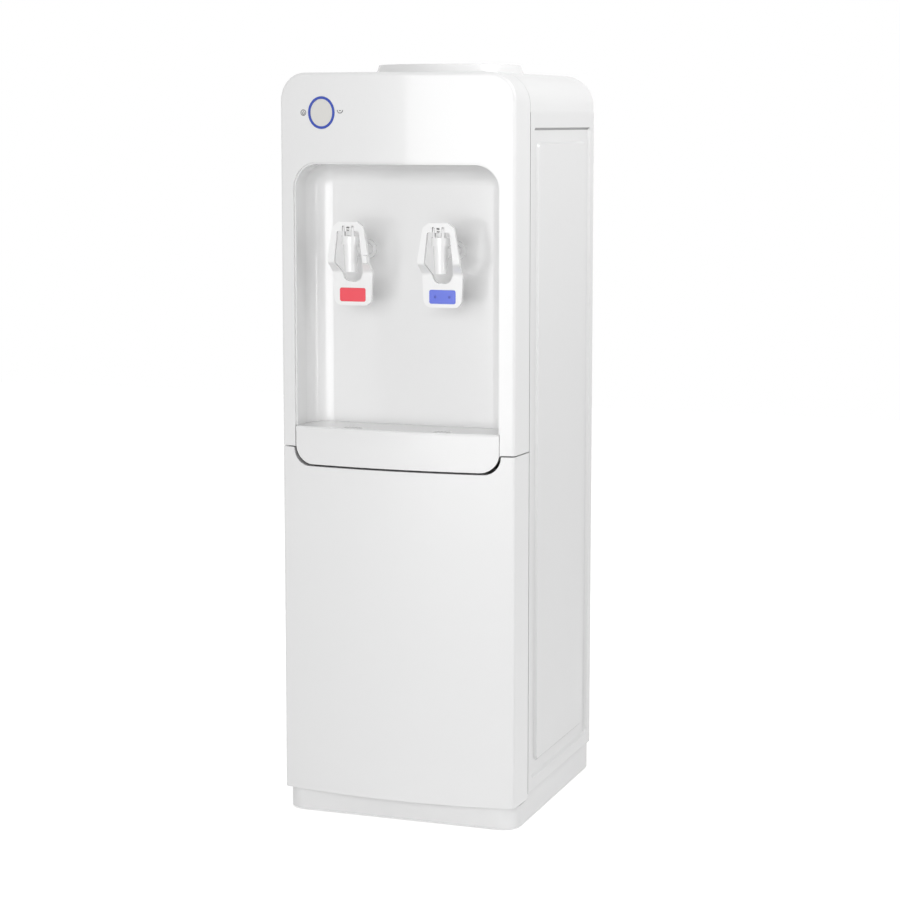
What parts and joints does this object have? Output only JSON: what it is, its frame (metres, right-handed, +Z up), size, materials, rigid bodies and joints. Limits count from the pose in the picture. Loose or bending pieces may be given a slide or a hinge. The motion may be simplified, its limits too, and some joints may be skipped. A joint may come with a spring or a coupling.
{
  "type": "top-load water dispenser",
  "caption": "Floor-standing hot and cold water dispenser with a bottle collar on top, paddle taps over a drip tray and a hinged storage cabinet below.",
  "frame": {"origin": "middle of the footprint on the floor", "axes": "+Z up, front faces -Y, +X to the right seen from the front"},
  "size_m": [0.31, 0.332, 0.9393],
  "materials": {
    "shell": "satin moulded plastic",
    "niche": "satin moulded plastic",
    "steel_paint": "powder coat",
    "base_plastic": "moulded",
    "rubber": "moulded",
    "screw_steel": "zinc plated",
    "sheet_steel": "galvanised",
    "grille": "satin moulded plastic",
    "seat_plastic": "satin moulded plastic",
    "silicone": "silicone",
    "ring_blue": "tinted",
    "lens": "frosted",
    "board": "circuit board",
    "tap_plastic": "polished moulded plastic",
    "red_plate": "polished",
    "blue_plate": "polished",
    "button_red": "polished",
    "pin_steel": "ground",
    "liner": "vacuum formed",
    "magnet": "moulded case",
    "stainless": "drawn",
    "foam": "expanded foam",
    "band": "mica clamped",
    "hose": "translucent silicone",
    "black_plastic": "moulded",
    "compressor_paint": "black enamel",
    "condenser_paint": "black enamel",
    "copper": "copper",
    "rocker_red": "polished",
    "rocker_green": "polished",
    "drain_plastic": "moulded"
  },
  "bodies": {
    "root": {"base_plinth": "base_plastic", "feet": "rubber", "side_panel_right": "steel_paint", "side_panel_left": "steel_paint", "rear_panel": "sheet_steel", "panel_screws": "screw_steel", "inner_shelves": "sheet_steel", "top_cover": "shell", "tank_seal": "silicone", "front_fascia": "shell", "tap_niche": "niche", "indicator_ring": "ring_blue", "indicator_lens": "lens", "indicator_board": "board", "tap_bodies": "tap_plastic", "tap_nuts": "tap_plastic", "tap_caps": "tap_plastic", "tap_pivots": "pin_steel", "valve_springs": "pin_steel", "cabinet_liner": "liner", "door_magnet": "magnet", "door_hinges": "screw_steel", "hinge_pins": "pin_steel", "cold_tank": "stainless", "evaporator_coil": "copper", "foam_body": "foam", "foam_lid": "foam", "hot_tank": "stainless", "hot_tank_stand": "sheet_steel", "heater_band": "band", "thermostats": "black_plastic", "water_hoses": "hose", "control_box": "base_plastic", "compressor": "compressor_paint", "compressor_grommets": "rubber", "relay_cover": "black_plastic", "condenser_tube": "condenser_paint", "condenser_wires": "condenser_paint", "condenser_brackets": "black_plastic", "refrigerant_pipes": "copper", "switch_housings": "black_plastic", "cord_gland": "rubber", "drain_spigot": "drain_plastic"},
    "door": {"cabinet_door": "shell", "door_inner_panel": "liner", "strike_plate": "screw_steel"},
    "tray": {"drip_tray": "shell"},
    "grille": {"drip_grille": "grille"},
    "hot_lever": {"hot_paddle": "tap_plastic", "hot_insert": "red_plate"},
    "hot_valve": {"hot_valve_stem": "tap_plastic"},
    "hot_button": {"hot_safety_button": "button_red"},
    "cold_lever": {"cold_paddle": "tap_plastic", "cold_insert": "blue_plate"},
    "cold_valve": {"cold_valve_stem": "tap_plastic"},
    "bottle_holder": {"bottle_seat": "seat_plastic", "bottle_probe": "seat_plastic"},
    "hot_switch": {"hot_rocker": "rocker_red"},
    "cold_switch": {"cold_rocker": "rocker_green"},
    "drain_stopper": {"drain_cap": "drain_plastic"}
  },
  "joints": [
    {"name": "door_hinge", "type": "hinge", "parent": "root", "child": "door", "pos_m": [0.148, -0.1176, 0.24835], "axis": [0, 0, 1], "range_deg": [0, 110]},
    {"name": "tray_slide", "type": "slide", "parent": "root", "child": "tray", "axis": [0, -1, 0], "range_m": [0, 0.07]},
    {"name": "grille_lift", "type": "slide", "parent": "tray", "child": "grille", "axis": [0, 0, 1], "range_m": [0, 0.03]},
    {"name": "hot_paddle_hinge", "type": "hinge", "parent": "root", "child": "hot_lever", "pos_m": [-0.0585, -0.1605, 0.7385], "axis": [1, 0, 0], "range_deg": [0, 14], "stiffness_Nm_per_rad": 0.8, "springref_deg": -5.73},
    {"name": "hot_valve_lift", "type": "slide", "parent": "root", "child": "hot_valve", "axis": [0, 0, 1], "range_m": [0, 0.0016], "deforming": ["valve_springs"]},
    {"name": "cold_paddle_hinge", "type": "hinge", "parent": "root", "child": "cold_lever", "pos_m": [0.0585, -0.1605, 0.7385], "axis": [1, 0, 0], "range_deg": [0, 14], "stiffness_Nm_per_rad": 0.8, "springref_deg": -5.73},
    {"name": "cold_valve_lift", "type": "slide", "parent": "root", "child": "cold_valve", "axis": [0, 0, 1], "range_m": [0, 0.0016], "deforming": ["valve_springs"]},
    {"name": "hot_button_press", "type": "slide", "parent": "hot_lever", "child": "hot_button", "axis": [0, 1, 0], "range_m": [0, 0.0016], "stiffness_N_per_m": 800, "springref_m": -0.001},
    {"name": "bottle_seat_lift", "type": "slide", "parent": "root", "child": "bottle_holder", "axis": [0, 0, 1], "range_m": [0, 0.08]},
    {"name": "hot_switch_rock", "type": "hinge", "parent": "root", "child": "hot_switch", "pos_m": [0.066, 0.137, 0.262], "axis": [-1, 0, 0], "range_deg": [0, 16]},
    {"name": "cold_switch_rock", "type": "hinge", "parent": "root", "child": "cold_switch", "pos_m": [0.096, 0.137, 0.262], "axis": [-1, 0, 0], "range_deg": [0, 16]},
    {"name": "drain_cap_slide", "type": "slide", "parent": "root", "child": "drain_stopper", "axis": [0, 1, 0], "range_m": [0, 0.03]}
  ],
  "couplings": [
    {"joint": "hot_valve_lift", "follows": "hot_paddle_hinge", "m_per_rad": 0.0065},
    {"joint": "cold_valve_lift", "follows": "cold_paddle_hinge", "m_per_rad": 0.0065}
  ]
}
